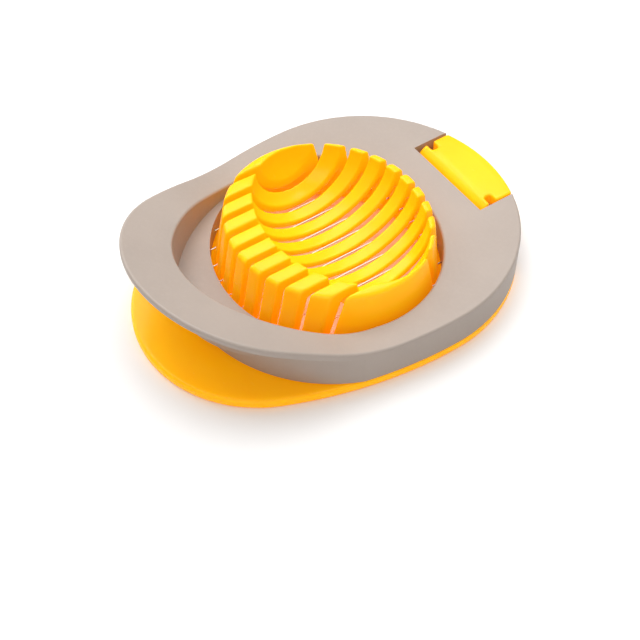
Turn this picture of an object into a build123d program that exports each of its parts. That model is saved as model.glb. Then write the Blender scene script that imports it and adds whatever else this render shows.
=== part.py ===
from build123d import *
import math
import os

# Egg slicer: a slatted cup moulded in one with its base plate, and a wired frame hinged behind it.
# Millimetres. +X runs along the hinge, +Y towards the hinge, +Z up; z = 0 is the table.

# ---------------------------------------------------------------- driving dimensions
length = 120.0            # handle tip to hinge tab, along Y
width = 91.0              # across the widest place, along X
nose_radius = 37.7        # handle end of the plan outline

base_thick = 3.0          # base plate
base_round = 0.9          # rounding of the plate's top edge
frame_gap = 0.35          # between the base plate and the closed frame's skirt
flange_top = 14.2         # top of the flat flange, frame closed
flange_thick = 2.6
flange_round = 0.7        # rounding of the flange's upper edges
tip_thick = 2.0           # the brim at the handle tip
wall = 1.8                # walls of the frame moulding
lift_rise = 19.1          # how far the handle tip stands above the flat flange
lift_length = 46.5        # from the handle tip to where the ramp's line meets the flat
lift_blend = 46.0         # radius of the bend between flat and ramp
skirt_inset = 16.7        # from the handle tip back to the skirt

hole_gap_x = 3.7          # round hole in the frame, beyond the cup's top
hole_gap_y = 3.6
hole_centre_y = 0.4
window_inset = 14.3       # from the handle tip back to the window's rounded tip
window_nose_radius = 26.0
window_step = 0.6         # the window's widest place lies this far inside the hole's
window_length = 43.7      # from its tip to its widest place
window_blend = 5.0        # the hole's own wall bounds the opening from this far before that
shelf_drop = 3.6          # shelf below the flat flange
shelf_thick = 1.8

slat_count = 11
slat_pitch = 6.0
slot_width = 1.9
end_cap = 4.9             # from the middle of the last slot to the end of the cup, at its top
cup_half_y = 29.5         # cup at its top, across the slats' length
cup_centre_y = 1.4
cup_height = 23.9         # top of the slats on the handle side
cup_fall = 1.5            # how much lower the tops are on the hinge side
cup_flare = 3.2           # the cup's foot stands out this much further all round
foot_shift = 1.0          # and lies this much nearer the handle than the top
shell = 2.3               # wall of the cup
shell_floor = 2.0         # thickness of the slats under the egg
top_round = 1.1           # rounding of the slats' outer top corners
collar_height = 4.4       # ring at the cup's foot that joins the slats

egg_end_wall = 1.5        # hollow for the egg, which lies along X: inside the cup's ends
egg_side_wall = 6.8       # and inside its sides, on average
egg_shift = 3.9           # and nearer the hinge than the cup's middle
egg_depth = 16.6

wire_diameter = 0.5
wire_height = 6.7
ferrule_diameter = 2.0
ferrule_length = 2.4
wire_tail = 0.5           # wire left standing past its ferrule
wire_hole_clearance = 0.05
boss_width = 3.6
boss_depth = 6.0
rim_bottom = 4.6          # lower edge of the wall round the hole

notch_half = 16.2         # opening for the hinge tab in the frame
notch_reach = 5.5         # from the hinge's axis to the front of the notch
tab_gap = 0.6             # each end of the tab to the side of the notch
barrel_gap = 0.7          # barrel to the front of the notch
hinge_inset = 10.0        # from the hinge's axis to the back of the tab
hinge_drop = 4.8          # axis below the flange top
pin_radius = 1.5
pin_clearance = 0.08      # running fit of the pins in their seats, radial
pin_reach = 3.4           # how far a pin stands out of the notch's side
seat_end_gap = 0.4        # pin end to the bottom of its seat
snap_bite = 0.5           # the snap slot's neck is this much narrower than the pin
heel_height = 2.2         # skirt behind the hinge reaches this far below the axis
heel_gap = 1.2            # base plate to the swinging heel
underside_wall = 2.2      # walls of the tab's hollow underside

# ---------------------------------------------------------------- derived
half = width / 2
y_back = length / 2
y_tip = -length / 2
hinge_y = y_back - hinge_inset
hinge_z = flange_top - hinge_drop
notch_front = hinge_y - notch_reach
skirt_front = y_tip + skirt_inset
window_tip = y_tip + window_inset
window_wide_y = window_tip + window_length
window_blend_y = window_wide_y - window_blend
lift_start = y_tip + lift_length
skirt_bottom = base_thick + frame_gap
shelf_top = flange_top - shelf_drop
slot_xs = [(i - (slat_count - 2) / 2) * slat_pitch for i in range(slat_count - 1)]
cup_half_x = slot_xs[-1] + end_cap
egg_half_x = cup_half_x - egg_end_wall
egg_half_y = cup_half_y - egg_side_wall
egg_centre_y = cup_centre_y + egg_shift
hole_half_x = cup_half_x + hole_gap_x
hole_half_y = cup_half_y + hole_gap_y
window_half = hole_half_x - window_step
snap_neck = 2 * pin_radius - snap_bite
tall = 60.0               # taller than anything in the model


def egg_edges(half_x, wide_y, tip_y, nose_r, back_y):
    """Closed egg outline: half a circle or ellipse behind, two side arcs and a nose arc in front."""
    nose_y = tip_y + nose_r
    drop = wide_y - nose_y
    side_r = (drop**2 / (half_x - nose_r) + half_x + nose_r) / 2
    side_x = side_r - half_x
    reach = math.hypot(side_x, drop)
    touch = (nose_r * side_x / reach, nose_y - nose_r * drop / reach)
    turn = math.atan2(drop, side_x) / 2
    middle = (side_r * math.cos(turn) - side_x, wide_y - side_r * math.sin(turn))
    with BuildLine() as outline:
        if math.isclose(half_x, back_y - wide_y):
            CenterArc((0, wide_y), half_x, start_angle=0, arc_size=180)
        else:
            EllipticalCenterArc((0, wide_y), half_x, back_y - wide_y, start_angle=0, arc_size=180)
        ThreePointArc((half_x, wide_y), middle, touch)
        ThreePointArc(touch, (0, tip_y), (-touch[0], touch[1]))
        ThreePointArc((-touch[0], touch[1]), (-middle[0], middle[1]), (-half_x, wide_y))
    return outline.wires()[0]


plan = egg_edges(half, y_back - half, y_tip, nose_radius, y_back)
window = egg_edges(window_half, window_wide_y, window_tip, window_nose_radius,
                   window_wide_y + hole_half_y / 2)

skirt_face_y = skirt_front + half
slope = lift_rise / lift_length
barrel_radius = hinge_y - notch_front - barrel_gap
tab_half = notch_half - tab_gap
seat_inner = notch_half - pin_reach - seat_end_gap
heel_z = hinge_z - heel_height
heel_y = hinge_y - heel_height
plate_back = hinge_y - heel_height - heel_gap


def ellipse_y(x, half_x, half_y):
    """How far an ellipse reaches from its centre line at x."""
    return half_y * math.sqrt(1 - (x / half_x)**2)


def boss_reach(x):
    """From the hole's centre line to the flat face that a wire's ferrule bears on."""
    return ellipse_y(abs(x) - boss_width / 2, hole_half_x + wall, hole_half_y + wall) + 0.4


def egg_sections(grow, deepen):
    """Cross sections of the egg hollow along X, grown by a wall."""
    faces = []
    for turn in (-80, -66, -50, -32, -14, 0, 14, 32, 50, 66, 80):
        x = (egg_half_x + grow) * math.sin(math.radians(turn))
        narrow = math.cos(math.radians(turn))
        end = math.sqrt(1 - abs(math.sin(math.radians(turn)))**6)
        with BuildSketch(Plane.YZ.offset(x)) as section:
            with Locations((egg_centre_y, cup_height)):
                Ellipse((egg_half_y + grow) * narrow, egg_depth * end + deepen)
        faces.append(section.sketch.faces()[0])
    return faces


# ---------------------------------------------------------------- egg hollow and cup cavity (tools)
with BuildPart() as egg_tool:
    loft(egg_sections(0, 0))

with BuildPart() as cavity:
    with BuildSketch(Plane.XY.offset(-1)):
        with Locations((0, cup_centre_y - foot_shift)):
            Ellipse(cup_half_x + cup_flare - shell, cup_half_y + cup_flare - shell)
    with BuildSketch(Plane.XY.offset(cup_height - cup_fall - shell)):
        with Locations((0, cup_centre_y)):
            Ellipse(cup_half_x - shell, cup_half_y - shell)
    loft()
    loft(egg_sections(shell, shell_floor), mode=Mode.SUBTRACT)

# ---------------------------------------------------------------- base plate, cup and hinge tab
with BuildPart() as cup:
    with BuildSketch(Plane.XY.offset(base_thick / 2)):
        with Locations((0, cup_centre_y - foot_shift)):
            Ellipse(cup_half_x + cup_flare, cup_half_y + cup_flare)
    with BuildSketch(Plane.XY.offset(cup_height)):
        with Locations((0, cup_centre_y)):
            Ellipse(cup_half_x, cup_half_y)
    loft()
    # the tops slope down a little towards the hinge
    with BuildSketch(Plane.YZ):
        with BuildLine():
            Polyline(
                (cup_centre_y - cup_half_y / 2, cup_height),
                (cup_centre_y + cup_half_y + cup_flare, cup_height - cup_fall),
                (cup_centre_y + cup_half_y + cup_flare, cup_height + 1),
                (cup_centre_y - cup_half_y / 2, cup_height + 1),
                close=True,
            )
        make_face()
    extrude(amount=width, both=True, mode=Mode.SUBTRACT)
    outer_tops = cup.edges().filter_by(lambda e: e.center().Z > cup_height / 2)
    outer_tops = outer_tops.filter_by(GeomType.LINE, reverse=True)
    fillet(outer_tops, top_round)
    add(egg_tool.part, mode=Mode.SUBTRACT)
    add(cavity.part, mode=Mode.SUBTRACT)
    for x in slot_xs:
        with Locations((x, cup_centre_y, collar_height)):
            Box(slot_width, width, tall, align=(Align.CENTER, Align.CENTER, Align.MIN),
                mode=Mode.SUBTRACT)

with BuildPart() as tab:
    with BuildSketch(Plane.YZ):
        with Locations((hinge_y, hinge_z)):
            Circle(barrel_radius)
        with Locations((hinge_y - barrel_radius, 0)):
            Rectangle(y_back - hinge_y + barrel_radius, hinge_z, align=(Align.MIN, Align.MIN))
        with Locations((hinge_y, 0)):
            Rectangle(y_back - hinge_y, flange_top, align=(Align.MIN, Align.MIN))
    extrude(amount=tab_half, both=True)
    with BuildSketch():
        add(plan)
        make_face()
    extrude(amount=tall, mode=Mode.INTERSECT)
    outer_rim = tab.edges().group_by(Axis.Z)[-1].sort_by(Axis.Y)[-1]
    fillet(outer_rim, base_round)
    # snap seats for the frame's pins, open at the top and at each end
    for side in (-1, 1):
        with BuildSketch(Plane.YZ.offset(side * seat_inner)):
            with Locations((hinge_y, hinge_z)):
                Circle(pin_radius + pin_clearance)
                Rectangle(snap_neck, tall, align=(Align.CENTER, Align.MIN))
            with Locations((hinge_y, hinge_z + pin_radius + 0.8)):
                Rectangle(2 * (pin_radius + pin_clearance), tall, align=(Align.CENTER, Align.MIN))
        extrude(amount=side * width, mode=Mode.SUBTRACT)
    # hollow underside
    with BuildSketch(Plane.XY):
        with Locations((0, (hinge_y - barrel_radius + y_back) / 2 - underside_wall / 2)):
            Rectangle(2 * (seat_inner - underside_wall),
                      y_back - hinge_y + barrel_radius - 3 * underside_wall)
    extrude(amount=hinge_z - pin_radius, mode=Mode.SUBTRACT)

with BuildPart() as base:
    with BuildSketch():
        add(plan)
        make_face()
    extrude(amount=base_thick)
    fillet(base.faces().sort_by(Axis.Z)[-1].edges(), base_round)
    # the plate stops short beside the tab, where the frame's heels swing
    with Locations((0, plate_back, 0)):
        Box(2 * width, length, tall, align=(Align.CENTER, Align.MIN, Align.CENTER),
            mode=Mode.SUBTRACT)
    add(cavity.part, mode=Mode.SUBTRACT)
    add(cup.part)
    add(tab.part)

# ---------------------------------------------------------------- frame
def side_profile(drop, tip_drop):
    """Everything below the frame's top surface, lowered by a thickness, as a prism along X."""
    with BuildPart() as prism:
        with BuildSketch(Plane.YZ) as outline:
            with BuildLine():
                Polyline(
                    (y_back + wall, -wall),
                    (y_back + wall, flange_top - drop),
                    (lift_start, flange_top - drop),
                    (y_tip - wall, flange_top + lift_rise + slope * wall - tip_drop),
                    (y_tip - wall, -wall),
                    close=True,
                )
            make_face()
            bend = outline.vertices().filter_by(lambda v: abs(v.Y - (flange_top - drop)) < 0.01)
            fillet(bend.sort_by(Axis.X)[0], lift_blend + drop)
        extrude(amount=width, both=True)
    return prism.part


def upright(outline, low, high):
    """A flat outline raised to a prism between two heights."""
    with BuildPart() as prism:
        with BuildSketch(Plane.XY.offset(low)):
            add(outline)
        extrude(amount=high - low)
    return prism.part


with BuildSketch() as plan_face:
    add(plan)
    make_face()

with BuildSketch() as window_face:
    add(window)
    make_face()

with BuildSketch() as window_outer:
    add(window_face.sketch)
    offset(amount=wall)

with BuildSketch() as hole_face:
    with Locations((0, hole_centre_y)):
        Ellipse(hole_half_x, hole_half_y)

with BuildSketch() as opening_face:
    add(window_face.sketch)
    add(hole_face.sketch)

with BuildSketch() as rim_face:
    with Locations((0, hole_centre_y)):
        Ellipse(hole_half_x + wall, hole_half_y + wall)
        Ellipse(hole_half_x, hole_half_y, mode=Mode.SUBTRACT)

with BuildSketch() as skirt_face:
    with Locations((0, skirt_face_y)):
        Circle(half)
        Rectangle(2 * width, length, align=(Align.CENTER, Align.MIN))
    add(plan_face.sketch, mode=Mode.INTERSECT)

with BuildSketch() as skirt_inside:
    add(skirt_face.sketch)
    offset(amount=-wall)

with BuildSketch() as skirt_ring:
    add(skirt_face.sketch)
    add(skirt_inside.sketch, mode=Mode.SUBTRACT)

under_top = side_profile(0, 0)

with BuildPart() as flange:
    add(upright(plan_face.sketch, 0, tall))
    add(under_top, mode=Mode.INTERSECT)
    add(side_profile(flange_thick, tip_thick), mode=Mode.SUBTRACT)
    add(upright(opening_face.sketch, 0, tall), mode=Mode.SUBTRACT)
    upper = flange.faces().filter_by(lambda f: f.normal_at().Z > 0.5)
    rims = [e for f in upper for e in f.edges()]
    rims = ShapeList(e for e in rims if sum(e.is_same(o) for o in rims) == 1)
    fillet(rims, flange_round)

# block that the hinge notch is cut from
with BuildPart() as notch_block:
    with Locations((0, notch_front - wall, skirt_bottom)):
        Box(2 * (notch_half + wall), length, tall, align=(Align.CENTER, Align.MIN, Align.MIN))
    add(upright(plan_face.sketch, 0, 2 * tall), mode=Mode.INTERSECT)

# wall round the hole; on the handle side it ends at the shelf
with BuildPart() as rim:
    add(upright(rim_face.sketch, rim_bottom, tall))
    with Locations((0, window_blend_y, shelf_top - shelf_thick / 2)):
        Box(2 * width, length, tall, align=(Align.CENTER, Align.MAX, Align.MIN),
            mode=Mode.SUBTRACT)

with BuildPart() as frame:
    add(upright(skirt_ring.sketch, skirt_bottom, tall))
    add(notch_block.part)
    add(rim.part)
    # a boss for each wire end
    for x in slot_xs:
        for side in (-1, 1):
            seat = hole_centre_y + side * boss_reach(x)
            with Locations((x, seat, rim_bottom)):
                Box(boss_width, boss_depth, shelf_top - rim_bottom,
                    align=(Align.CENTER, Align.MIN if side < 0 else Align.MAX, Align.MIN))
    # wall of the window and the shelf at its foot
    add(upright(window_outer.sketch, shelf_top - shelf_thick, tall))
    add(upright(window_face.sketch, shelf_top, tall + 1), mode=Mode.SUBTRACT)
    add(upright(hole_face.sketch, 0, tall + 1), mode=Mode.SUBTRACT)
    add(side_profile(flange_thick / 2, tip_thick / 2), mode=Mode.INTERSECT)
    add(flange.part)
    # notch for the tab, and the heels cut short so that they swing clear of the plate
    with Locations((0, notch_front, 0)):
        Box(2 * notch_half, length, 2 * tall, align=(Align.CENTER, Align.MIN, Align.CENTER),
            mode=Mode.SUBTRACT)
    with Locations((0, heel_y, heel_z)):
        Box(2 * width, length, tall, align=(Align.CENTER, Align.MIN, Align.MAX),
            mode=Mode.SUBTRACT)
    # pins that turn in the tab's seats
    for side in (-1, 1):
        with BuildSketch(Plane.YZ.offset(side * (notch_half - pin_reach))):
            with Locations((hinge_y, hinge_z)):
                Circle(pin_radius)
        extrude(amount=side * (pin_reach + wall / 2))
    # holes that the wires run through
    for x in slot_xs:
        with Locations(Location((x, hole_centre_y, wire_height), (90, 0, 0))):
            Cylinder(wire_diameter / 2 + wire_hole_clearance, 2 * (boss_reach(x) + 1),
                     mode=Mode.SUBTRACT)

# ---------------------------------------------------------------- wires and their ferrules
wires = []
for number, x in enumerate(slot_xs, start=1):
    with BuildPart() as wire:
        with Locations(Location((x, hole_centre_y, wire_height), (90, 0, 0))):
            Cylinder(wire_diameter / 2, 2 * (boss_reach(x) + ferrule_length + wire_tail))
    wire.part.label = f"wire_{number:02d}"
    wires.append(wire.part)

ferrules = []
for side, place in ((-1, "handle"), (1, "hinge")):
    with BuildPart() as group:
        for x in slot_xs:
            y = hole_centre_y + side * (boss_reach(x) + ferrule_length / 2)
            with Locations(Location((x, y, wire_height), (90, 0, 0))):
                Cylinder(ferrule_diameter / 2, ferrule_length)
                Cylinder(wire_diameter / 2, ferrule_length, mode=Mode.SUBTRACT)
    group.part.label = f"wire_ferrules_{place}"
    ferrules.append(group.part)

# ---------------------------------------------------------------- labels and files
base.part.label = "base_moulding"
frame.part.label = "cutting_frame"
os.makedirs("parts", exist_ok=True)
for piece in [base.part, frame.part] + wires + ferrules:
    export_step(piece, f"parts/{piece.label}.step")
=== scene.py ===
import math

import bmesh
import bpy
from mathutils import Euler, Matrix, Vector


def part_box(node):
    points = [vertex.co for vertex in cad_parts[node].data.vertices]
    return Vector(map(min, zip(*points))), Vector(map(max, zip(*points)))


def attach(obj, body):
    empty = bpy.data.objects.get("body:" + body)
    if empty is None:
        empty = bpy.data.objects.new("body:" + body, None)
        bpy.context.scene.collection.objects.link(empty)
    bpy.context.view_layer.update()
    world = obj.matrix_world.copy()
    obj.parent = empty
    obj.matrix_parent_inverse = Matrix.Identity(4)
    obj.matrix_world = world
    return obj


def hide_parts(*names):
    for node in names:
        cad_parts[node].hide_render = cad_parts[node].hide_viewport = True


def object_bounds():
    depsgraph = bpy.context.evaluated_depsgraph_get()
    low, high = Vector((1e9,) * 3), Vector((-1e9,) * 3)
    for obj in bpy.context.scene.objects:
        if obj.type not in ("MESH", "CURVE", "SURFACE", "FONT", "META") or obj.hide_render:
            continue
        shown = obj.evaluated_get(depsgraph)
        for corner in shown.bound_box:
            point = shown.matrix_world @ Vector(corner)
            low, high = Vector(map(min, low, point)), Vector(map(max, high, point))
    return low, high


bl_info = {
    "name": "Egg slicer",
    "version": (1, 0, 0),
    "blender": (4, 5, 0),
    "location": "View3D > Sidebar > Egg slicer",
    "description": "Yellow slatted cup on its plate, with the grey wired frame hinged over it",
    "category": "Object",
}

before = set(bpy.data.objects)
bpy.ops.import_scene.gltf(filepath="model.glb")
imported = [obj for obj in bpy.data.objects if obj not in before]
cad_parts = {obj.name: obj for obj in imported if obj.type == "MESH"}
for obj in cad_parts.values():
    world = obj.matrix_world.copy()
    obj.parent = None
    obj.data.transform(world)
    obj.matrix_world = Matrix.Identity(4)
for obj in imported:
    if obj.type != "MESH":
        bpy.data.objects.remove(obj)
CAD_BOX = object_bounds()
BASE_LOW, BASE_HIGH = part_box("base_moulding")
WIRES = sorted(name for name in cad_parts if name.startswith("wire_") and name[5:].isdigit())
MM = 0.001


def middle(node, axis):
    """Middle of a node's box along one axis."""
    low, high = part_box(node)
    return (low[axis] + high[axis]) / 2


WIRE_FIRST = middle(WIRES[0], 0)
WIRE_PITCH = (middle(WIRES[-1], 0) - WIRE_FIRST) / (len(WIRES) - 1)


# ---------------------------------------------------------------- sizes and colours
def length(name, description, default):
    return bpy.props.FloatProperty(name=name, description=description, default=default,
                                   unit="LENGTH", precision=5)


def colour(name, description, default):
    return bpy.props.FloatVectorProperty(name=name, description=description, default=default,
                                         size=3, subtype="COLOR", min=0.0, max=1.0)


class PlateSizes(bpy.types.PropertyGroup):
    half_width: length("Half width", "Half of the plate's width", BASE_HIGH[0])
    nose_radius: length("Nose radius", "Round of the handle end", 37.7 * MM)
    thickness: length("Thickness", "Thickness of the plate", 3.0 * MM)
    rim_round: length("Rim rounding", "Rounding of the plate's upper rim", 0.9 * MM)
    back: length("Back", "Where the plate stops beside the hinge tab", 46.6 * MM)


class TabSizes(bpy.types.PropertyGroup):
    half_width: length("Half width", "Half of the tab's width", 15.6 * MM)
    top: length("Top", "Height of the tab's flat top", 14.2 * MM)
    hinge_y: length("Hinge place", "Place of the hinge line", 50.0 * MM)
    hinge_z: length("Hinge height", "Height of the hinge line", 9.4 * MM)
    barrel: length("Barrel radius", "Round of the tab's inner edge", 4.8 * MM)
    edge_round: length("Edge rounding", "Rounding of the tab's outer edge", 0.9 * MM)
    seat_inner: length("Seat depth", "Where each snap seat ends, from the middle", 12.4 * MM)
    seat_radius: length("Seat radius", "Radius of each snap seat", 1.58 * MM)
    neck: length("Seat neck", "Width of the slot over each seat", 2.5 * MM)
    wall: length("Wall", "Wall round the hollow under the tab", 2.2 * MM)


class CupSizes(bpy.types.PropertyGroup):
    half_x: length("Half length", "Half of the cup's length at its top", 31.9 * MM)
    half_y: length("Half width", "Half of the cup's width at its top", 29.5 * MM)
    centre_y: length("Centre", "Middle of the cup", 1.4 * MM)
    height: length("Height", "Top of the slats on the handle side", 23.9 * MM)
    fall: length("Fall", "How much lower the slats are on the hinge side", 1.5 * MM)
    flare: length("Flare", "How far the foot stands out beyond the top", 3.2 * MM)
    foot_shift: length("Foot shift", "How much nearer the handle the foot lies", 1.0 * MM)
    top_round: length("Top rounding", "Rounding of the slats' outer top corners", 1.3 * MM)
    shell: length("Wall", "Wall of the cup", 2.3 * MM)
    floor: length("Floor", "Thickness of the slats under the egg", 2.0 * MM)
    collar: length("Collar", "Height of the ring that joins the slats", 4.4 * MM)
    egg_half_x: length("Egg half length", "Half of the hollow's length", 30.4 * MM)
    egg_half_y: length("Egg half width", "Half of the hollow's width", 22.7 * MM)
    egg_centre_y: length("Egg centre", "Middle of the hollow", 5.3 * MM)
    egg_depth: length("Egg depth", "Depth of the hollow", 16.6 * MM)
    slot_width: length("Slot width", "Gap between two slats", 1.9 * MM)
    grain: length("Edge softness", "Cell that the moulding's edges are rounded with", 0.34 * MM)


class WireSizes(bpy.types.PropertyGroup):
    diameter: length("Wire", "Diameter of a cutting wire", 0.5 * MM)
    ferrule: length("Ferrule", "Diameter of a crimped ferrule", 2.0 * MM)
    ferrule_length: length("Ferrule length", "Length of a crimped ferrule", 2.4 * MM)
    crimp: length("Crimp", "Depth of the crimp on a ferrule", 0.22 * MM)
    tail: length("Wire tail", "How far a wire stands out past its ferrule", 0.5 * MM)


class Finishes(bpy.types.PropertyGroup):
    yellow: colour("Yellow", "Clear yellow of the base moulding", (0.99, 0.57, 0.006))
    amber: colour("Amber", "Deeper tone of the base moulding", (0.99, 0.40, 0.003))
    grey: colour("Grey", "Warm grey of the frame", (0.40, 0.335, 0.29))
    steel: colour("Steel", "Bare steel of the wires", (0.62, 0.61, 0.59))
    brass: colour("Brass", "Brass of the ferrules", (0.72, 0.52, 0.24))
    floor: colour("Floor", "Pale floor", (0.90, 0.895, 0.89))


GROUPS = {"slicer_plate": PlateSizes, "slicer_tab": TabSizes, "slicer_cup": CupSizes,
          "slicer_wires": WireSizes, "slicer_finishes": Finishes}


# ---------------------------------------------------------------- node building
class Graph:
    """Adds nodes to a tree and joins them, so that a tree reads from top to bottom."""

    def __init__(self, tree):
        self.tree = tree

    def feed(self, socket, value):
        if isinstance(value, list):
            for each in value:
                self.tree.links.new(each, socket)
        elif isinstance(value, bpy.types.NodeSocket):
            self.tree.links.new(value, socket)
        else:
            socket.default_value = value

    def node(self, kind, inputs=None, **settings):
        made = self.tree.nodes.new(kind)
        for key, value in settings.items():
            setattr(made, key, value)
        for key, value in (inputs or {}).items():
            self.feed(made.inputs[key], value)
        return made

    def calc(self, operation, *values):
        made = self.node("ShaderNodeMath", dict(enumerate(values)), operation=operation)
        return made.outputs[0]

    def plus(self, a, b):
        return self.calc("ADD", a, b)

    def minus(self, a, b):
        return self.calc("SUBTRACT", a, b)

    def times(self, a, b):
        return self.calc("MULTIPLY", a, b)

    def split(self, vector):
        return self.node("ShaderNodeSeparateXYZ", {0: vector}).outputs

    def join(self, x, y, z):
        return self.node("ShaderNodeCombineXYZ", {"X": x, "Y": y, "Z": z}).outputs[0]


SOCKETS = {float: "NodeSocketFloat", int: "NodeSocketInt", bpy.types.Material: "NodeSocketMaterial"}


def new_tree(name, values):
    """A Geometry Nodes tree with an input for each value; returns its graph and its inputs."""
    tree = bpy.data.node_groups.new(name, "GeometryNodeTree")
    tree.is_modifier = True
    tree.interface.new_socket("Geometry", in_out="INPUT", socket_type="NodeSocketGeometry")
    for label, value in values.items():
        tree.interface.new_socket(label, in_out="INPUT", socket_type=SOCKETS[type(value)])
    tree.interface.new_socket("Geometry", in_out="OUTPUT", socket_type="NodeSocketGeometry")
    graph = Graph(tree)
    return graph, graph.node("NodeGroupInput").outputs


def end_tree(graph, geometry, material):
    """Instances made real and the finish set, as the last steps of a tree."""
    real = graph.node("GeometryNodeRealizeInstances", {"Geometry": geometry})
    done = graph.node("GeometryNodeSetMaterial", {"Geometry": real.outputs[0], "Material": material})
    out = graph.node("NodeGroupOutput")
    graph.tree.links.new(done.outputs[0], out.inputs[0])


def grow(name, start, make_tree, values):
    """Runs a tree over a start mesh and returns the outcome as a plain mesh object."""
    tree = make_tree(values).tree
    seed = bpy.data.objects.new(name + "_start", start)
    bpy.context.scene.collection.objects.link(seed)
    modifier = seed.modifiers.new("Making", "NODES")
    modifier.node_group = tree
    sockets = {item.name: item.identifier for item in tree.interface.items_tree
               if item.item_type == "SOCKET" and item.in_out == "INPUT"}
    for label, value in values.items():
        modifier[sockets[label]] = value
    made = settle(name, seed)
    bpy.data.objects.remove(seed)
    return made


def settle(name, source):
    """A plain mesh object from an object's evaluated modifiers."""
    bpy.context.view_layer.update()
    ready = source.evaluated_get(bpy.context.evaluated_depsgraph_get())
    mesh = bpy.data.meshes.new_from_object(ready)
    if not mesh.polygons:
        raise RuntimeError(f"{name} came out empty")
    mesh.name = name
    made = bpy.data.objects.new(name, mesh)
    bpy.context.scene.collection.objects.link(made)
    return made


def put(piece, body, replaced):
    """Hangs a finished piece on its body in place of its CAD nodes."""
    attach(piece, body)
    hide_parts(*replaced)


# ---------------------------------------------------------------- finishes
def new_finish(name):
    material = bpy.data.materials.new(name)
    material.use_nodes = True
    graph = Graph(material.node_tree)
    shader = next(n for n in material.node_tree.nodes if n.type == "BSDF_PRINCIPLED")
    place = graph.node("ShaderNodeTexCoord").outputs["Object"]
    return material, graph, shader, place


def mottle(graph, place, scale, detail=3.0, stretch=None):
    """Noise between 0 and 1 at a given number of cells per metre."""
    if stretch:
        place = graph.node("ShaderNodeMapping", {"Vector": place, "Scale": stretch}).outputs[0]
    return graph.node("ShaderNodeTexNoise",
                      {"Vector": place, "Scale": scale, "Detail": detail}).outputs["Fac"]


def between(graph, factor, low, high, start=0.3, end=0.7):
    """A number that runs from low to high as the factor runs from start to end."""
    return graph.node("ShaderNodeMapRange", {"Value": factor, "From Min": start, "From Max": end,
                                             "To Min": low, "To Max": high}).outputs[0]


def blend(graph, factor, a, b):
    mix = graph.node("ShaderNodeMix", data_type="RGBA")
    graph.feed(mix.inputs[0], factor)
    for socket, value in ((mix.inputs[6], a), (mix.inputs[7], b)):
        graph.feed(socket, value if isinstance(value, bpy.types.NodeSocket) else (*value, 1.0))
    return mix.outputs[2]


def raise_skin(graph, shader, heights):
    """Bump made of several heights, each with its own depth in metres."""
    normal = None
    for height, depth, strength in heights:
        bump = graph.node("ShaderNodeBump", {"Height": height, "Distance": depth,
                                             "Strength": strength})
        if normal is not None:
            graph.feed(bump.inputs["Normal"], normal)
        normal = bump.outputs[0]
    graph.feed(shader.inputs["Normal"], normal)


def yellow_plastic(finishes):
    """Glossy, slightly clear moulded plastic, with a painted orange glow (emission) that stands in for
    the orange light in its thin and shaded parts.
    """
    material, graph, shader, place = new_finish("yellow_plastic")
    cloud = mottle(graph, place, 45.0)
    haze = mottle(graph, place, 420.0, 4.0)
    rubs = mottle(graph, place, 260.0, 2.0, (1.0, 14.0, 6.0))
    graph.feed(shader.inputs["Base Color"],
               blend(graph, between(graph, cloud, 0.0, 0.35), tuple(finishes.yellow),
                     tuple(finishes.amber)))
    shine = graph.plus(between(graph, haze, 0.21, 0.26), between(graph, rubs, 0.0, 0.02))
    graph.feed(shader.inputs["Roughness"], shine)
    shader.inputs["IOR"].default_value = 1.50
    shader.inputs["Specular IOR Level"].default_value = 0.2
    shader.inputs["Subsurface Weight"].default_value = 0.6
    shader.inputs["Subsurface Radius"].default_value = (1.0, 0.5, 0.1)
    shader.inputs["Subsurface Scale"].default_value = 0.0022
    # painted glow: an orange emission over the whole moulding, standing in for the orange light seen in
    # its thin and shaded parts
    shader.inputs["Emission Color"].default_value = (1.0, 0.27, 0.0, 1.0)
    shader.inputs["Emission Strength"].default_value = 0.33
    raise_skin(graph, shader, [(cloud, 0.00005, 0.15), (haze, 0.000008, 0.15)])
    return material


def grey_plastic(finishes):
    """Warm grey moulding with a fine spark-eroded skin, a little smoother where it is handled."""
    material, graph, shader, place = new_finish("grey_plastic")
    cloud = mottle(graph, place, 30.0)
    skin = mottle(graph, place, 2600.0, 2.0)
    speck = mottle(graph, place, 900.0, 2.0)
    tone = tuple(finishes.grey)
    deep = tuple(c * 0.88 for c in tone)
    pale = tuple(min(c * 1.08, 1.0) for c in tone)
    base = blend(graph, between(graph, cloud, 0.0, 1.0), deep, tone)
    graph.feed(shader.inputs["Base Color"],
               blend(graph, between(graph, speck, 0.0, 0.2, 0.45, 0.75), base, pale))
    graph.feed(shader.inputs["Roughness"],
               graph.plus(between(graph, cloud, 0.36, 0.44), between(graph, skin, 0.0, 0.08)))
    shader.inputs["IOR"].default_value = 1.48
    shader.inputs["Subsurface Weight"].default_value = 0.08
    shader.inputs["Subsurface Radius"].default_value = (1.0, 0.7, 0.5)
    shader.inputs["Subsurface Scale"].default_value = 0.001
    raise_skin(graph, shader, [(skin, 0.00003, 0.35), (speck, 0.00003, 0.2)])
    return material


def wire_steel(finishes):
    """Drawn steel with fine lines along the wire."""
    material, graph, shader, place = new_finish("wire_steel")
    drawn = mottle(graph, place, 9000.0, 2.0, (1.0, 0.01, 1.0))
    tone = tuple(finishes.steel)
    graph.feed(shader.inputs["Base Color"],
               blend(graph, drawn, tuple(c * 0.8 for c in tone), tone))
    shader.inputs["Metallic"].default_value = 1.0
    graph.feed(shader.inputs["Roughness"], between(graph, drawn, 0.18, 0.34))
    raise_skin(graph, shader, [(drawn, 0.00001, 0.3)])
    return material


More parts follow.
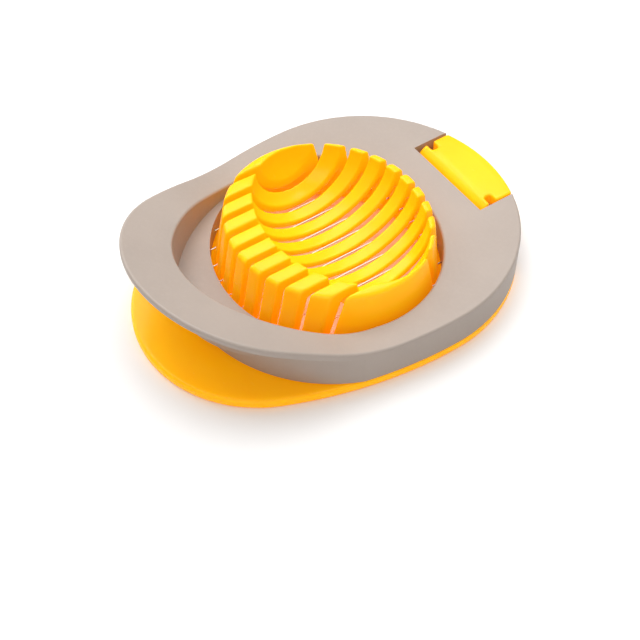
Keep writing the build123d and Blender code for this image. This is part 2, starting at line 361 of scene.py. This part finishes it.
def ferrule_brass(finishes):
    """Crimped brass, dulled in patches."""
    material, graph, shader, place = new_finish("ferrule_brass")
    patch = mottle(graph, place, 1400.0, 3.0)
    tone = tuple(finishes.brass)
    graph.feed(shader.inputs["Base Color"],
               blend(graph, patch, tuple(c * 0.6 for c in tone), tone))
    shader.inputs["Metallic"].default_value = 1.0
    graph.feed(shader.inputs["Roughness"], between(graph, patch, 0.42, 0.24))
    raise_skin(graph, shader, [(patch, 0.00003, 0.4)])
    return material


FINISHES = {"yellow_plastic": yellow_plastic, "grey_plastic": grey_plastic,
            "wire_steel": wire_steel, "ferrule_brass": ferrule_brass}


def finish(name):
    """The finish of that name, made once."""
    if name not in bpy.data.materials or not bpy.data.materials[name].get("slicer"):
        material = FINISHES[name](bpy.context.scene.slicer_finishes)
        material["slicer"] = True
        material.name = name
        return material
    return bpy.data.materials[name]


# ---------------------------------------------------------------- outlines
def arc(centre, radius, start, end, steps):
    """Points on an arc, without its last one; angles in degrees."""
    turns = [math.radians(start + (end - start) * i / steps) for i in range(steps)]
    return [Vector((centre[0] + radius * math.cos(t), centre[1] + radius * math.sin(t), 0.0))
            for t in turns]


def plan_outline(plate, back):
    """The slicer's egg outline seen from above, cut straight at the back."""
    half, nose = plate.half_width, plate.nose_radius
    wide_y, nose_y = BASE_HIGH[1] - half, BASE_LOW[1] + nose
    drop = wide_y - nose_y
    side = (drop**2 / (half - nose) + half + nose) / 2
    sweep = math.degrees(math.atan2(drop, side - half))
    points = arc((0.0, wide_y), half, 0.0, 180.0, 120)
    points += arc((side - half, wide_y), side, 180.0, 180.0 + sweep, 30)
    points += arc((0.0, nose_y), nose, 180.0 + sweep, 360.0 - sweep, 80)
    points += arc((half - side, wide_y), side, -sweep, 0.0, 30)
    reach = math.sqrt(half**2 - (back - wide_y)**2)
    kept = [p for p in points if p.y < back]
    at = next(i for i, p in enumerate(kept) if p.x < 0.0)
    return kept[:at] + [Vector((reach, back, 0.0)), Vector((-reach, back, 0.0))] + kept[at:]


def inset(points, distance):
    """A closed outline moved inwards, each point along its own normal."""
    moved = []
    for i, point in enumerate(points):
        along = points[(i + 1) % len(points)] - points[i - 1]
        moved.append(point + Vector((-along.y, along.x, 0.0)).normalized() * distance)
    return moved


def skin_rings(mesh, rings):
    """A closed solid through rings of the same number of points, its ends filled."""
    loops = [[mesh.verts.new(p) for p in ring] for ring in rings]
    for low, high in zip(loops, loops[1:]):
        for i in range(len(low)):
            j = (i + 1) % len(low)
            mesh.faces.new((low[i], low[j], high[j], high[i]))
    mesh.faces.new(list(reversed(loops[0])))
    mesh.faces.new(loops[-1])


def plate_solid(mesh, plate):
    """The base plate, with its rim rounded above and softened below."""
    outline = plan_outline(plate, plate.back)
    r, foot = plate.rim_round, 0.3 * MM
    rings = []
    for step in range(4):
        turn = math.radians(30 * step)
        rings.append((foot * (1 - math.sin(turn)), foot * (1 - math.cos(turn))))
    for step in range(7):
        turn = math.radians(15 * step)
        rings.append((r * (1 - math.cos(turn)), plate.thickness - r + r * math.sin(turn)))
    skin_rings(mesh, [[p + Vector((0, 0, z)) for p in inset(outline, d)] for d, z in rings])


def tab_solid(mesh, tab, plate):
    """The tab that carries the hinge: round inside, and following the outline outside."""
    wide_y = BASE_HIGH[1] - plate.half_width
    rings = []
    steps = 40
    for step in range(steps + 1):
        x = tab.half_width * (2 * step / steps - 1)
        back = wide_y + math.sqrt(plate.half_width**2 - x**2)
        r = tab.edge_round
        section = [(tab.hinge_y - tab.barrel, 0.0)]
        for turn in range(180, 85, -6):
            a = math.radians(turn)
            section.append((tab.hinge_y + tab.barrel * math.cos(a),
                            tab.hinge_z + tab.barrel * math.sin(a)))
        for turn in range(90, -5, -15):
            a = math.radians(turn)
            section.append((back - r + r * math.cos(a), tab.top - r + r * math.sin(a)))
        section.append((back, 0.0))
        rings.append([Vector((x, y, z)) for y, z in section])
    skin_rings(mesh, rings)


# ---------------------------------------------------------------- trees
def cup_tree(values):
    """Slatted cup: a flared blank, less the egg, the hollow beneath and a row of slots."""
    graph, given = new_tree("slatted_cup", values)
    far = 80.0 * MM           # longer than anything that it cuts
    foot = 1.5 * MM           # the blank starts inside the plate
    below = 1.0 * MM          # how far the hollow's cutter starts below the table
    roof_round = 0.6 * MM
    nearly_tip = 0.9995       # the egg's tips, where its sections shrink to nothing

    def drum(shrink, bottom, top, round_top, fall):
        """An elliptical drum, wider at its foot, rounded at its top and lower towards the hinge."""
        raw = graph.node("GeometryNodeMeshCylinder",
                         {"Vertices": 144, "Side Segments": 64, "Fill Segments": 24,
                          "Radius": 1.0, "Depth": 1.0}, fill_type="TRIANGLE_FAN").outputs["Mesh"]
        x, y, z = graph.split(graph.node("GeometryNodeInputPosition").outputs[0])
        up = graph.plus(z, 0.5)
        tall = graph.minus(top, bottom)
        out = graph.times(given["Flare"], graph.minus(1.0, up))
        rise = graph.times(up, tall)
        over = graph.calc("MAXIMUM", graph.minus(rise, graph.minus(tall, round_top)), 0.0)
        left = graph.minus(graph.calc("POWER", round_top, 2.0), graph.calc("POWER", over, 2.0))
        inner = graph.calc("SQRT", graph.calc("MAXIMUM", 0.0, left))
        pull = graph.plus(shrink, graph.minus(round_top, inner))
        grown = graph.minus(out, pull)
        at_x = graph.times(x, graph.plus(given["Half X"], grown))
        off_y = graph.times(y, graph.plus(given["Half Y"], grown))
        shift = graph.times(given["Foot Shift"], graph.minus(1.0, up))
        at_y = graph.plus(off_y, graph.minus(given["Centre Y"], shift))
        lean = graph.node("ShaderNodeMapRange", {
            "Value": off_y, "From Min": graph.times(given["Half Y"], -0.5),
            "From Max": given["Half Y"], "To Min": 0.0, "To Max": fall}).outputs[0]
        at_z = graph.minus(graph.plus(rise, bottom), graph.times(lean, up))
        return graph.node("GeometryNodeSetPosition",
                          {"Geometry": raw, "Position": graph.join(at_x, at_y, at_z)}).outputs[0]

    def egg(grown, deeper):
        """The egg's hollow, lying along X and grown by a wall; its depth drops only near the tips."""
        ball = graph.node("GeometryNodeMeshUVSphere",
                          {"Segments": 96, "Rings": 64, "Radius": 1.0}).outputs["Mesh"]
        laid = graph.node("GeometryNodeTransform",
                          {"Geometry": ball, "Rotation": Euler((0, math.pi / 2, 0))}).outputs[0]
        x, y, z = graph.split(graph.node("GeometryNodeInputPosition").outputs[0])
        along = graph.calc("MINIMUM", graph.calc("ABSOLUTE", x), nearly_tip)
        around = graph.calc("SQRT", graph.minus(1.0, graph.calc("POWER", along, 2.0)))
        full = graph.calc("SQRT", graph.minus(1.0, graph.calc("POWER", along, 6.0)))
        deep = graph.plus(graph.times(full, given["Egg Depth"]), graph.times(deeper, full))
        at_x = graph.times(x, graph.plus(given["Egg Half X"], grown))
        at_y = graph.plus(given["Egg Centre Y"], graph.times(y, graph.plus(given["Egg Half Y"], grown)))
        at_z = graph.plus(given["Height"], graph.times(graph.calc("DIVIDE", z, around), deep))
        return graph.node("GeometryNodeSetPosition",
                          {"Geometry": laid, "Position": graph.join(at_x, at_y, at_z)}).outputs[0]

    def block(size_x, size_y, size_z, x, y, z):
        """A cutting block standing on the given point."""
        cube = graph.node("GeometryNodeMeshCube",
                          {"Size": graph.join(size_x, size_y, size_z)}).outputs["Mesh"]
        lift = graph.plus(z, graph.times(size_z, 0.5))
        return graph.node("GeometryNodeTransform",
                          {"Geometry": cube, "Translation": graph.join(x, y, lift)}).outputs[0]

    def less(body, *cutters):
        return graph.node("GeometryNodeMeshBoolean", {"Mesh 1": body, "Mesh 2": list(cutters)},
                          operation="DIFFERENCE", solver="EXACT").outputs["Mesh"]

    blank = drum(0.0, foot, given["Height"], given["Top Round"], given["Fall"])
    wall = given["Wall"]
    roof = graph.minus(graph.minus(given["Height"], given["Fall"]), wall)
    hollow = less(drum(wall, -below, roof, roof_round, 0.0), egg(wall, given["Floor"]))
    whole = graph.node("GeometryNodeMeshBoolean",
                       {"Mesh 2": [given["Geometry"], blank], "Self Intersection": True},
                       operation="UNION", solver="EXACT").outputs["Mesh"]
    shaped = less(less(whole, hollow), egg(0.0, 0.0))

    line = graph.node("GeometryNodeMeshLine",
                      {"Count": given["Slots"],
                       "Start Location": graph.join(given["First Slot"], given["Centre Y"], 0.0),
                       "Offset": graph.join(given["Slot Pitch"], 0.0, 0.0)}).outputs[0]
    cut = block(given["Slot Width"], far, far, 0.0, 0.0, given["Collar"])
    slots = graph.node("GeometryNodeRealizeInstances", {"Geometry": graph.node(
        "GeometryNodeInstanceOnPoints", {"Points": line, "Instance": cut}).outputs[0]}).outputs[0]

    # two snap seats at the ends of the hinge tab, and the hollow beneath it
    seats = []
    for side in (-1.0, 1.0):
        middle_x = graph.times(graph.plus(given["Seat Inner"], far / 2), side)
        rod = graph.node("GeometryNodeMeshCylinder",
                         {"Vertices": 48, "Radius": given["Seat Radius"], "Depth": far})
        seats.append(graph.node("GeometryNodeTransform", {
            "Geometry": rod.outputs["Mesh"], "Rotation": Euler((0, math.pi / 2, 0)),
            "Translation": graph.join(middle_x, given["Hinge Y"], given["Hinge Z"])}).outputs[0])
        seats.append(block(far, given["Seat Neck"], far, middle_x, given["Hinge Y"],
                           given["Hinge Z"]))
    under = block(given["Under X"], given["Under Y"], given["Under Height"], 0.0,
                  given["Under Middle"], -0.1 * MM)
    end_tree(graph, less(less(shaped, slots, under), *seats), given["Finish"])
    return graph


def wire_tree(values):
    """A row of wires, each as long as its start point's own reach on both sides."""
    graph, given = new_tree("wire_row", values)
    reach = graph.node("GeometryNodeInputNamedAttribute", {"Name": "reach"},
                       data_type="FLOAT").outputs[0]
    line = graph.node("GeometryNodeCurvePrimitiveLine",
                      {"Start": (0.0, -1.0, 0.0), "End": (0.0, 1.0, 0.0)}).outputs[0]
    points = graph.node("GeometryNodeMeshToPoints", {"Mesh": given["Geometry"]}).outputs[0]
    row = graph.node("GeometryNodeInstanceOnPoints", {
        "Points": points, "Instance": line,
        "Scale": graph.join(1.0, reach, 1.0)}).outputs[0]
    real = graph.node("GeometryNodeRealizeInstances", {"Geometry": row}).outputs[0]
    many = graph.node("GeometryNodeResampleCurve", {"Curve": real, "Count": 12}).outputs[0]
    ring = graph.node("GeometryNodeCurvePrimitiveCircle", {
        "Resolution": 14, "Radius": graph.times(given["Thickness"], 0.5)}).outputs[0]
    tube = graph.node("GeometryNodeCurveToMesh", {"Curve": many, "Profile Curve": ring,
                                                  "Fill Caps": True}).outputs[0]
    soft = graph.node("GeometryNodeSetShadeSmooth", {"Geometry": tube}).outputs[0]
    end_tree(graph, soft, given["Finish"])
    return graph


def ferrule_tree(values):
    """A crimped sleeve on each wire end, pinched twice along its length."""
    graph, given = new_tree("ferrules", values)
    lip_start = 0.42          # where the rounded lip begins, as a share of the length
    lip_taper = 1.6 * MM
    sleeve = graph.node("GeometryNodeMeshCylinder", {
        "Vertices": 28, "Side Segments": 26, "Fill Segments": 2, "Depth": given["Length"],
        "Radius": graph.times(given["Diameter"], 0.5)}).outputs["Mesh"]
    x, y, z = graph.split(graph.node("GeometryNodeInputPosition").outputs[0])
    along = graph.calc("DIVIDE", z, given["Length"])
    wave = graph.calc("COSINE", graph.times(along, 4 * math.pi))
    pinch = graph.calc("MAXIMUM", graph.times(wave, -1.0), 0.0)
    lip = graph.calc("MAXIMUM", graph.minus(graph.calc("ABSOLUTE", along), lip_start), 0.0)
    narrow = graph.plus(graph.times(pinch, given["Crimp"]), graph.times(lip, lip_taper))
    ratio = graph.minus(1.0, graph.calc("DIVIDE", narrow, graph.times(given["Diameter"], 0.5)))
    shaped = graph.node("GeometryNodeSetPosition", {
        "Geometry": sleeve,
        "Position": graph.join(graph.times(x, ratio), graph.times(y, ratio), z)}).outputs[0]
    points = graph.node("GeometryNodeMeshToPoints", {"Mesh": given["Geometry"]}).outputs[0]
    row = graph.node("GeometryNodeInstanceOnPoints", {
        "Points": points, "Instance": shaped,
        "Rotation": Euler((math.pi / 2, 0, 0))}).outputs[0]
    real = graph.node("GeometryNodeRealizeInstances", {"Geometry": row}).outputs[0]
    soft = graph.node("GeometryNodeSetShadeSmooth", {"Geometry": real}).outputs[0]
    end_tree(graph, soft, given["Finish"])
    return graph


# ---------------------------------------------------------------- operators
def base_start(plate, tab):
    """The plate and the tab as two overlapping solids in one mesh."""
    plate_mesh = bpy.data.meshes.new("plate_start")
    solid = bmesh.new()
    plate_solid(solid, plate)
    solid.to_mesh(plate_mesh)
    solid.free()
    start = bpy.data.meshes.new("base_start")
    solid = bmesh.new()
    tab_solid(solid, tab, plate)
    bmesh.ops.recalc_face_normals(solid, faces=solid.faces)
    solid.from_mesh(plate_mesh)
    solid.to_mesh(start)
    solid.free()
    return start


def soften(rough, cell):
    """Modifiers that round every moulded edge and then thin the mesh out."""
    cells = rough.modifiers.new("Rounding", "REMESH")
    cells.mode = "VOXEL"
    cells.voxel_size = cell * 1.0
    relax = rough.modifiers.new("Relax", "SMOOTH")
    relax.factor = 0.5
    relax.iterations = 12
    thin = rough.modifiers.new("Thin", "DECIMATE")
    thin.ratio = 0.33
    even = rough.modifiers.new("Even", "SMOOTH")
    even.factor = 0.5
    even.iterations = 3


class SLICER_OT_base(bpy.types.Operator):
    """Makes the base plate, slatted cup and hinge tab as one moulding"""
    bl_idname = "slicer.base"
    bl_label = "Base moulding"

    def execute(self, context):
        scene = context.scene
        plate, tab, cup = scene.slicer_plate, scene.slicer_tab, scene.slicer_cup
        tab_front, tab_back = tab.hinge_y - tab.barrel, BASE_HIGH[1]
        rough = grow("base_rough", base_start(plate, tab), cup_tree, {
            "Half X": cup.half_x, "Half Y": cup.half_y, "Centre Y": cup.centre_y,
            "Height": cup.height, "Fall": cup.fall, "Flare": cup.flare,
            "Foot Shift": cup.foot_shift, "Top Round": cup.top_round, "Wall": cup.shell,
            "Floor": cup.floor, "Collar": cup.collar, "Egg Half X": cup.egg_half_x,
            "Egg Half Y": cup.egg_half_y, "Egg Centre Y": cup.egg_centre_y,
            "Egg Depth": cup.egg_depth, "Slot Width": cup.slot_width, "Slot Pitch": WIRE_PITCH,
            "First Slot": WIRE_FIRST, "Slots": len(WIRES), "Seat Inner": tab.seat_inner,
            "Seat Radius": tab.seat_radius, "Seat Neck": tab.neck, "Hinge Y": tab.hinge_y,
            "Hinge Z": tab.hinge_z, "Under X": 2 * (tab.seat_inner - tab.wall),
            "Under Y": tab_back - tab_front - 3 * tab.wall,
            "Under Middle": (tab_front + tab_back - tab.wall) / 2,
            "Under Height": tab.hinge_z - tab.seat_radius, "Finish": finish("yellow_plastic")})
        soften(rough, cup.grain)
        piece = settle("base_yellow", rough)
        bpy.data.objects.remove(rough)
        piece.data.shade_smooth()
        piece.data.materials.clear()
        piece.data.materials.append(finish("yellow_plastic"))
        put(piece, "base", ["base_moulding"])
        return {"FINISHED"}


class SLICER_OT_frame(bpy.types.Operator):
    """Gives the wired frame its warm grey finish"""
    bl_idname = "slicer.frame"
    bl_label = "Frame"

    def execute(self, context):
        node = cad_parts["cutting_frame"]
        for place in node.material_slots:
            place.material = finish("grey_plastic")
        return {"FINISHED"}


class SLICER_OT_wires(bpy.types.Operator):
    """Strings the cutting wires and crimps a ferrule on each end"""
    bl_idname = "slicer.wires"
    bl_label = "Wires"

    def execute(self, context):
        sizes = context.scene.slicer_wires
        strings = bpy.data.meshes.new("wire_places")
        strings.from_pydata([[middle(name, axis) for axis in range(3)] for name in WIRES], [], [])
        reach = strings.attributes.new("reach", "FLOAT", "POINT")
        for i, name in enumerate(WIRES):
            low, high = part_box(name)
            reach.data[i].value = (high[1] - low[1]) / 2
        row = grow("wires", strings, wire_tree,
                   {"Thickness": sizes.diameter, "Finish": finish("wire_steel")})
        put(row, "frame", WIRES)

        inward = sizes.tail + sizes.ferrule_length / 2
        for node, end in (("wire_ferrules_handle", 0), ("wire_ferrules_hinge", 1)):
            ends = bpy.data.meshes.new(node + "_places")
            shift = inward * (1 - 2 * end)
            ends.from_pydata([(middle(name, 0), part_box(name)[end][1] + shift, middle(name, 2))
                              for name in WIRES], [], [])
            group = grow(node + "_crimped", ends, ferrule_tree,
                         {"Diameter": sizes.ferrule, "Length": sizes.ferrule_length,
                          "Crimp": sizes.crimp, "Finish": finish("ferrule_brass")})
            put(group, "frame", [node])
        return {"FINISHED"}


# name, place, side of the square and power in watts
LIGHTS = (("key", (-0.20, 0.15, 0.80), 0.90, 8.6),
          ("fill", (0.55, -0.55, 0.55), 0.5, 1.4),
          ("side", (-0.70, -0.20, 0.45), 0.4, 1.8))
LIT_POINT = Vector((0.0, 0.0, 0.01))
SKY_COLOUR, SKY_STRENGTH = (1.0, 0.985, 0.97, 1.0), 0.41
FLOOR_SIZE, FLOOR_GAP = 4.0, 0.05 * MM
CAMERA_PLACE = (0.21248, -0.14616, 0.28892)
CAMERA_TURN = (math.radians(39.624), 0.0, math.radians(55.777))
CAMERA_LENS, CAMERA_SENSOR = 73.125, 36.0      # both in millimetres


def add_floor(scene):
    mesh = bpy.data.meshes.new("floor")
    solid = bmesh.new()
    bmesh.ops.create_grid(solid, x_segments=8, y_segments=8, size=FLOOR_SIZE)
    solid.to_mesh(mesh)
    solid.free()
    floor = bpy.data.objects.new("floor", mesh)
    floor.location.z = CAD_BOX[0][2] - FLOOR_GAP
    scene.collection.objects.link(floor)
    paint, graph, shader, place = new_finish("pale_floor")
    tone = tuple(scene.slicer_finishes.floor)
    graph.feed(shader.inputs["Base Color"],
               blend(graph, mottle(graph, place, 6.0), tuple(c * 0.985 for c in tone), tone))
    graph.feed(shader.inputs["Roughness"], between(graph, mottle(graph, place, 40.0), 0.55, 0.65))
    mesh.materials.append(paint)


def add_lights(scene):
    for name, place, size, power in LIGHTS:
        lamp = bpy.data.lights.new(name, "AREA")
        lamp.shape = "SQUARE"
        lamp.size = size
        lamp.energy = power
        light = bpy.data.objects.new(name, lamp)
        light.location = place
        light.rotation_euler = (LIT_POINT - Vector(place)).to_track_quat("-Z", "Y").to_euler()
        scene.collection.objects.link(light)
    world = bpy.data.worlds.new("studio")
    world.use_nodes = True
    sky = next(n for n in world.node_tree.nodes if n.type == "BACKGROUND")
    sky.inputs["Color"].default_value = SKY_COLOUR
    sky.inputs["Strength"].default_value = SKY_STRENGTH
    scene.world = world


def add_camera(scene):
    lens = bpy.data.cameras.new("camera")
    lens.lens = CAMERA_LENS
    lens.sensor_width = CAMERA_SENSOR
    lens.clip_start = 0.01
    camera = bpy.data.objects.new("camera", lens)
    camera.location = CAMERA_PLACE
    camera.rotation_euler = CAMERA_TURN
    scene.collection.objects.link(camera)
    scene.camera = camera


class SLICER_OT_stage(bpy.types.Operator):
    """Sets the pale floor, the soft lights and the camera"""
    bl_idname = "slicer.stage"
    bl_label = "Stage"

    def execute(self, context):
        scene = context.scene
        add_floor(scene)
        add_lights(scene)
        add_camera(scene)
        scene.view_settings.view_transform = "Standard"
        return {"FINISHED"}


class SLICER_PT_panel(bpy.types.Panel):
    """Lists the slicer's pieces, sizes and colours"""
    bl_idname = "SLICER_PT_panel"
    bl_label = "Egg slicer"
    bl_space_type = "VIEW_3D"
    bl_region_type = "UI"
    bl_category = "Egg slicer"

    def draw(self, context):
        for step in STEPS:
            self.layout.operator(step.bl_idname)
        for name, group in GROUPS.items():
            box = self.layout.box()
            box.label(text=group.__name__)
            for key in group.__annotations__:
                box.prop(getattr(context.scene, name), key)


STEPS = (SLICER_OT_base, SLICER_OT_frame, SLICER_OT_wires, SLICER_OT_stage)
CLASSES = tuple(GROUPS.values()) + STEPS + (SLICER_PT_panel,)


def register():
    for each in CLASSES:
        bpy.utils.register_class(each)
    for name, group in GROUPS.items():
        setattr(bpy.types.Scene, name, bpy.props.PointerProperty(type=group))


def unregister():
    for name in GROUPS:
        delattr(bpy.types.Scene, name)
    for each in reversed(CLASSES):
        bpy.utils.unregister_class(each)


def main():
    register()
    bpy.ops.slicer.base()
    bpy.ops.slicer.frame()
    bpy.ops.slicer.wires()
    bpy.ops.slicer.stage()


if __name__ == "__main__":
    main()
